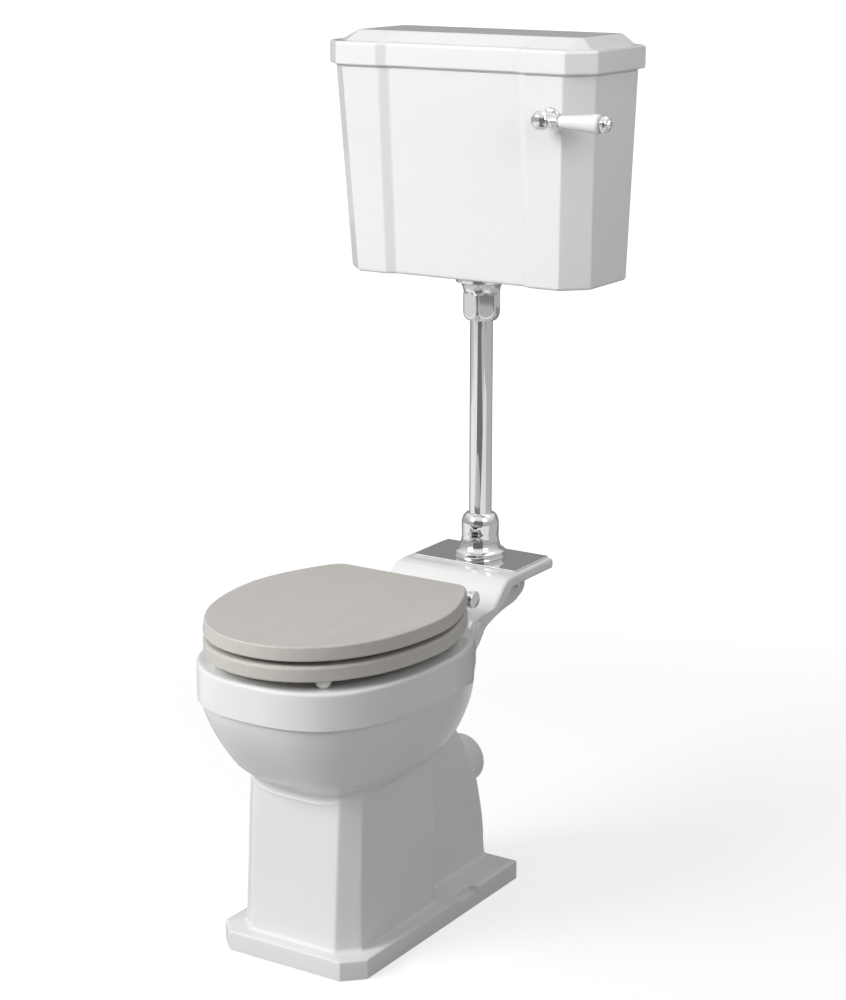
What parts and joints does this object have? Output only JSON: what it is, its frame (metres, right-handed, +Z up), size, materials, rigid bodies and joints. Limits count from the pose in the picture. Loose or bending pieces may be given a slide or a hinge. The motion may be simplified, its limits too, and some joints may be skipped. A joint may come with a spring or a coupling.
{
  "type": "medium level toilet",
  "caption": "Traditional medium level toilet: pan with seat and lid, chrome flush pipe and wall-hung cistern with side lever.",
  "frame": {"origin": "centre of the plinth's underside, on the floor", "axes": "+Z up, -Y the front of the toilet, +X the side of the flush lever; the wall stands at y = 0.426 m"},
  "size_m": [0.5772, 0.751, 1.394],
  "materials": {
    "glazed china": "gloss",
    "stone grey paint on wood": "satin",
    "chrome on brass": "polished",
    "stainless steel": "satin",
    "plain brass": "satin",
    "black rubber": "matte",
    "white plastic": "satin",
    "blue plastic": "satin"
  },
  "bodies": {
    "root": {"pan": "glazed china", "cover_plate": "chrome on brass", "plate_studs": "stainless steel", "plate_washers": "black rubber", "plate_wing_nuts": "plain brass", "inlet_flange": "chrome on brass", "inlet_seal": "black rubber", "lower_coupling_nut": "chrome on brass", "lower_cone_seal": "black rubber", "flush_pipe": "chrome on brass", "upper_coupling_nut": "chrome on brass", "upper_cone_seal": "black rubber", "siphon_back_nut": "chrome on brass", "siphon_washer": "black rubber", "siphon_body": "white plastic", "cistern_body": "glazed china", "lever_boss": "chrome on brass", "lever_bush": "plain brass", "bush_washer": "black rubber", "bush_nut": "plain brass", "valve_body": "plain brass", "inlet_washer": "black rubber", "inlet_back_nut": "plain brass", "discharge_tube": "white plastic", "arm_pivot_pin": "stainless steel", "hinge_bar": "chrome on brass", "hinge_caps": "chrome on brass", "hinge_pillars": "chrome on brass", "pillar_washers": "white plastic", "hinge_studs": "stainless steel", "stud_anchors": "black rubber", "stud_nuts": "plain brass"},
    "ring": {"seat_ring": "stone grey paint on wood", "ring_leaves": "chrome on brass", "ring_screws": "stainless steel", "ring_buffers": "white plastic"},
    "lid": {"seat_lid": "stone grey paint on wood", "lid_leaves": "chrome on brass", "lid_screws": "stainless steel", "lid_buffers": "white plastic"},
    "lever": {"lever_spindle": "plain brass", "lever_hub": "chrome on brass", "lever_stem": "chrome on brass", "lever_grip": "glazed china", "lever_finial": "chrome on brass", "crank_arm": "plain brass", "crank_screw": "stainless steel"},
    "piston": {"piston_plate": "white plastic", "piston_diaphragm": "blue plastic", "lift_rod": "stainless steel", "lift_link": "white plastic"},
    "float": {"float_arm": "plain brass", "float_ball": "blue plastic"},
    "cistern_lid": {"cistern_lid": "glazed china"}
  },
  "joints": [
    {"name": "ring_hinge", "type": "hinge", "parent": "root", "child": "ring", "pos_m": [0, 0.124, 0.518], "axis": [1, 0, 0], "range_deg": [-98, 0]},
    {"name": "lid_hinge", "type": "hinge", "parent": "ring", "child": "lid", "pos_m": [0, 0.124, 0.518], "axis": [-1, 0, 0], "range_deg": [0, 105]},
    {"name": "flush_lever", "type": "hinge", "parent": "root", "child": "lever", "pos_m": [0.183, 0.24009, 1.2755], "axis": [0, 0.9979, 0.0653], "range_deg": [0, 30]},
    {"name": "piston_lift", "type": "slide", "parent": "root", "child": "piston", "axis": [0, 0, 1], "range_m": [0, 0.0542]},
    {"name": "float_rise", "type": "hinge", "parent": "root", "child": "float", "pos_m": [-0.19019, 0.345, 1.296], "axis": [0, -1, 0], "range_deg": [0, 35]},
    {"name": "cistern_lid_lift", "type": "slide", "parent": "root", "child": "cistern_lid", "axis": [0, 0, 1], "range_m": [0, 0.12]}
  ],
  "couplings": [
    {"joint": "piston_lift", "follows": "flush_lever", "m_per_rad": 0.1026}
  ]
}
